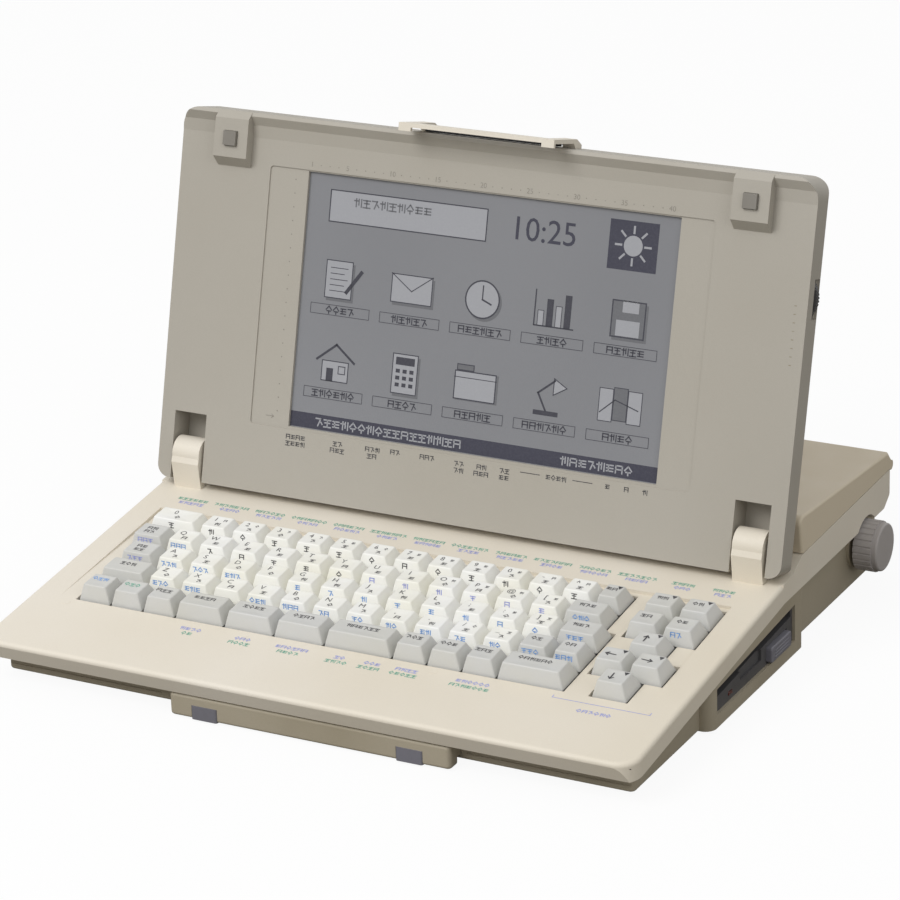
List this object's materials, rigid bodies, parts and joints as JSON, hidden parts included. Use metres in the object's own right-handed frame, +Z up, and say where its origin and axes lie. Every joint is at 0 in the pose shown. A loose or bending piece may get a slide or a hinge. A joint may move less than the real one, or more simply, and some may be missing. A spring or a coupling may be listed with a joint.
{
  "type": "electronic word processor",
  "caption": "Portable electronic word processor with a tilting screen lid, sloping keyboard, built-in thermal printer under a rear cover, side disk drive and pull-out carrying handle.",
  "frame": {"origin": "centre of the outline's bottom, on the surface that the feet stand on", "axes": "+Z up, +X to the user's right, -Y towards the user"},
  "size_m": [0.3714, 0.3232, 0.251],
  "materials": {
    "case_cream": "fine texture",
    "case_taupe": "fine texture",
    "lid_taupe": "fine texture",
    "key_white": "satin",
    "key_grey": "satin",
    "pad_grey": "satin",
    "dark_plastic": "satin",
    "knob_grey": "satin",
    "lcd_grey": "matte film",
    "panel_metal": "plain",
    "steel": "plain",
    "board_green": "solder mask",
    "rubber_dark": "matte",
    "rubber_light": "matte",
    "black_plastic": "satin"
  },
  "bodies": {
    "case": {"upper_case": "case_cream", "lower_case": "case_taupe", "keyboard_plate": "steel", "key_dome_sheet": "rubber_light", "keyboard_board": "board_green", "main_board": "board_green", "power_board": "board_green", "hinge_arms": "case_cream", "hinge_pins": "steel", "case_screws": "steel", "rubber_feet": "rubber_dark", "floppy_drive": "panel_metal", "drive_bezel": "dark_plastic", "power_inlet": "black_plastic", "printer_frame": "steel", "paper_guide": "steel", "guide_rod": "steel", "carriage_belt": "rubber_dark", "carriage_motor": "steel", "feed_motor": "steel", "cover_hinge_pins": "steel"},
    "lid": {"lid_bezel": "lid_taupe", "lid_back_cover": "lid_taupe", "lcd_panel": "panel_metal", "lcd_glass": "lcd_grey", "inverter_board": "board_green", "latch_pins": "steel", "lid_studs": "pad_grey"},
    "latch": {"latch_bail": "case_cream"},
    "wheel": {"contrast_wheel": "dark_plastic"},
    "handle": {"carry_handle": "case_taupe", "handle_pads": "pad_grey"},
    "cover": {"printer_cover": "case_cream"},
    "platen": {"platen_roller": "rubber_dark", "platen_shaft": "steel", "platen_knob": "knob_grey", "platen_gear": "black_plastic"},
    "pinion": {"motor_pinion": "black_plastic"},
    "pinch": {"pinch_rollers": "rubber_dark"},
    "carriage": {"print_carriage": "black_plastic", "thermal_head": "black_plastic", "ribbon_cassette": "dark_plastic"},
    "belt_drive": {"drive_pulley": "black_plastic"},
    "belt_idler": {"idler_pulley": "black_plastic"},
    "eject": {"eject_button": "pad_grey"},
    "switch": {"power_switch": "black_plastic"},
    "space": {"space_key": "key_grey"},
    "function_row": {"function_row_keys": "key_grey"},
    "lower_row": {"lower_row_keys": "key_white"},
    "home_row": {"home_row_keys": "key_white"},
    "upper_row": {"upper_row_keys": "key_white"},
    "number_row": {"number_row_keys": "key_white"},
    "cursor_down": {"key_cursor_down": "key_grey"},
    "cursor_left": {"key_cursor_left": "key_grey"},
    "cursor_right": {"key_cursor_right": "key_grey"},
    "cursor_up": {"key_cursor_up": "key_grey"},
    "print": {"key_print": "key_grey"},
    "menu": {"key_menu": "key_grey"},
    "insert": {"key_insert": "key_grey"},
    "delete": {"key_delete": "key_grey"}
  },
  "joints": [
    {"name": "lid_hinge", "type": "hinge", "parent": "case", "child": "lid", "pos_m": [-0.00525, 0.01948, 0.06216], "axis": [1, 0, 0], "range_deg": [0, 112]},
    {"name": "latch_hinge", "type": "hinge", "parent": "lid", "child": "latch", "pos_m": [-0.00525, 0.07064, 0.23402], "axis": [1, 0, 0], "range_deg": [-100, 0]},
    {"name": "contrast_turn", "type": "hinge", "parent": "lid", "child": "wheel", "pos_m": [0.16295, 0.05464, 0.18187], "axis": [0, -0.968, 0.2509], "range_deg": [-135, 135]},
    {"name": "handle_slide", "type": "slide", "parent": "case", "child": "handle", "axis": [0, -1, 0], "range_m": [0, 0.036]},
    {"name": "cover_hinge", "type": "hinge", "parent": "case", "child": "cover", "pos_m": [-0.00525, 0.1589, 0.0578], "axis": [1, 0, 0], "range_deg": [-75, 0]},
    {"name": "platen_spin", "type": "hinge", "parent": "case", "child": "platen", "pos_m": [-0.00525, 0.1251, 0.0255], "axis": [1, 0, 0], "continuous": true},
    {"name": "pinion_spin", "type": "hinge", "parent": "case", "child": "pinion", "pos_m": [-0.00525, 0.10706, 0.01893], "axis": [1, 0, 0], "continuous": true},
    {"name": "pinch_spin", "type": "hinge", "parent": "case", "child": "pinch", "pos_m": [-0.00525, 0.11946, 0.01], "axis": [1, 0, 0], "continuous": true},
    {"name": "carriage_slide", "type": "slide", "parent": "case", "child": "carriage", "axis": [1, 0, 0], "range_m": [0, 0.224]},
    {"name": "drive_pulley_spin", "type": "hinge", "parent": "case", "child": "belt_drive", "pos_m": [-0.14525, 0.0749, 0.02], "axis": [0, 0, 1], "range_deg": [-2340, 0]},
    {"name": "idler_pulley_spin", "type": "hinge", "parent": "case", "child": "belt_idler", "pos_m": [0.13475, 0.0749, 0.02], "axis": [0, 0, 1], "range_deg": [-2340, 0]},
    {"name": "eject_press", "type": "slide", "parent": "case", "child": "eject", "axis": [-1, 0, 0], "range_m": [0, 0.003], "stiffness_N_per_m": 400, "springref_m": -0.0005},
    {"name": "power_rocker", "type": "hinge", "parent": "case", "child": "switch", "pos_m": [-0.10025, 0.1509, 0.02], "axis": [1, 0, 0], "range_deg": [0, 12]},
    {"name": "function_row_press", "type": "slide", "parent": "case", "child": "function_row", "axis": [0, 0.1033, -0.9947], "range_m": [0, 0.003], "stiffness_N_per_m": 1500, "springref_m": -0.0005},
    {"name": "lower_row_press", "type": "slide", "parent": "case", "child": "lower_row", "axis": [0, 0.1033, -0.9947], "range_m": [0, 0.003], "stiffness_N_per_m": 1500, "springref_m": -0.0005},
    {"name": "home_row_press", "type": "slide", "parent": "case", "child": "home_row", "axis": [0, 0.1033, -0.9947], "range_m": [0, 0.003], "stiffness_N_per_m": 1500, "springref_m": -0.0005},
    {"name": "upper_row_press", "type": "slide", "parent": "case", "child": "upper_row", "axis": [0, 0.1033, -0.9947], "range_m": [0, 0.003], "stiffness_N_per_m": 1500, "springref_m": -0.0005},
    {"name": "number_row_press", "type": "slide", "parent": "case", "child": "number_row", "axis": [0, 0.1033, -0.9947], "range_m": [0, 0.003], "stiffness_N_per_m": 1500, "springref_m": -0.0005},
    {"name": "cursor_down_press", "type": "slide", "parent": "case", "child": "cursor_down", "axis": [0, 0.1033, -0.9947], "range_m": [0, 0.003], "stiffness_N_per_m": 200, "springref_m": -0.0005},
    {"name": "cursor_left_press", "type": "slide", "parent": "case", "child": "cursor_left", "axis": [0, 0.1033, -0.9947], "range_m": [0, 0.003], "stiffness_N_per_m": 200, "springref_m": -0.0005},
    {"name": "cursor_right_press", "type": "slide", "parent": "case", "child": "cursor_right", "axis": [0, 0.1033, -0.9947], "range_m": [0, 0.003], "stiffness_N_per_m": 200, "springref_m": -0.0005},
    {"name": "cursor_up_press", "type": "slide", "parent": "case", "child": "cursor_up", "axis": [0, 0.1033, -0.9947], "range_m": [0, 0.003], "stiffness_N_per_m": 200, "springref_m": -0.0005},
    {"name": "print_press", "type": "slide", "parent": "case", "child": "print", "axis": [0, 0.1033, -0.9947], "range_m": [0, 0.003], "stiffness_N_per_m": 200, "springref_m": -0.0005},
    {"name": "menu_press", "type": "slide", "parent": "case", "child": "menu", "axis": [0, 0.1033, -0.9947], "range_m": [0, 0.003], "stiffness_N_per_m": 200, "springref_m": -0.0005},
    {"name": "insert_press", "type": "slide", "parent": "case", "child": "insert", "axis": [0, 0.1033, -0.9947], "range_m": [0, 0.003], "stiffness_N_per_m": 200, "springref_m": -0.0005},
    {"name": "delete_press", "type": "slide", "parent": "case", "child": "delete", "axis": [0, 0.1033, -0.9947], "range_m": [0, 0.003], "stiffness_N_per_m": 200, "springref_m": -0.0005},
    {"name": "space_press", "type": "slide", "parent": "case", "child": "space", "axis": [0, 0.1033, -0.9947], "range_m": [0, 0.003], "stiffness_N_per_m": 200, "springref_m": -0.0005}
  ],
  "couplings": [
    {"joint": "pinion_spin", "follows": "platen_spin", "ratio": -3},
    {"joint": "pinch_spin", "follows": "platen_spin", "ratio": -2.8571},
    {"joint": "drive_pulley_spin", "follows": "carriage_slide", "rad_per_m": -181.82},
    {"joint": "idler_pulley_spin", "follows": "carriage_slide", "rad_per_m": -181.82}
  ]
}
